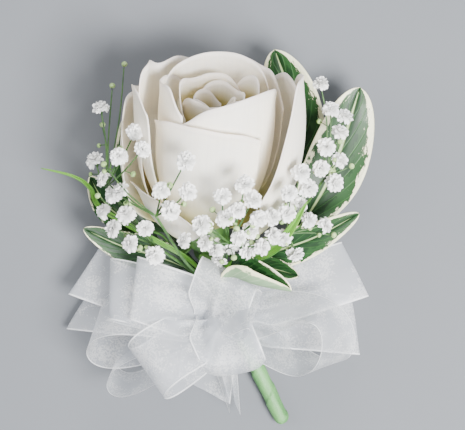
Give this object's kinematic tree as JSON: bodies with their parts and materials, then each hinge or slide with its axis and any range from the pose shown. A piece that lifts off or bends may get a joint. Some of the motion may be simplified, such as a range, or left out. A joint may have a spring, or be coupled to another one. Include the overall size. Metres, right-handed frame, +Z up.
{
  "type": "corsage",
  "caption": "White rose corsage lying on its back, with variegated leaves, baby's breath, a looped sheer ribbon bow and a tape-wrapped stem.",
  "frame": {"origin": "middle of the footprint, on the surface that the corsage lies on", "axes": "+Z up, away from that surface, the way the front of the corsage faces; +Y from the cut end of the stem towards the open rose; +X to the right as seen from above"},
  "size_m": [0.1176, 0.1362, 0.0684],
  "materials": {
    "petal": "matte",
    "leaf": "satin",
    "grass": "satin",
    "babys_breath": "matte",
    "organza": "satin",
    "floral_tape": "matte",
    "green_stalk": "matte",
    "wire": "satin"
  },
  "bodies": {
    "root": {"petal_inner_1": "petal", "petal_inner_2": "petal", "petal_inner_3": "petal", "petal_inner_4": "petal", "petal_inner_5": "petal", "petal_inner_6": "petal", "petal_back_tall": "petal", "petal_left_narrow": "petal", "petal_front_upper": "petal", "petal_front_lower": "petal", "petal_back_right": "petal", "petal_back_left": "petal", "petal_left_upper": "petal", "petal_right_inner": "petal", "petal_left_lower": "petal", "petal_right_tall": "petal", "petal_under": "petal", "petal_under_left": "petal", "leaf_right_upper": "leaf", "leaf_top_right": "leaf", "leaf_right_lower": "leaf", "leaf_left_lower": "leaf", "leaf_left_upper": "leaf", "leaf_under_left": "leaf", "leaf_front_curled": "leaf", "leaf_front_small": "leaf", "grass_blade_right": "grass", "grass_blade_left": "grass", "breath_left_high": "babys_breath", "breath_left_middle": "babys_breath", "breath_left_low": "babys_breath", "breath_centre": "babys_breath", "breath_right_low": "babys_breath", "breath_right_high": "babys_breath", "bow_loop_left_back": "organza", "bow_loop_low_back": "organza", "bow_loop_left_high": "organza", "bow_loop_left_round": "organza", "bow_loop_left_middle": "organza", "bow_loop_left_front": "organza", "bow_loop_front_low": "organza", "bow_loop_centre_up": "organza", "bow_loop_centre_down": "organza", "bow_loop_right_open": "organza", "bow_loop_right_high": "organza", "bow_loop_right_back": "organza", "bow_tail_short": "organza", "bow_tail_dovetail": "organza", "rose_heart": "petal", "rose_calyx": "green_stalk", "stem_tape": "floral_tape", "rose_stem": "green_stalk", "stem_wire": "wire", "bow_tie": "organza"}
  },
  "joints": []
}
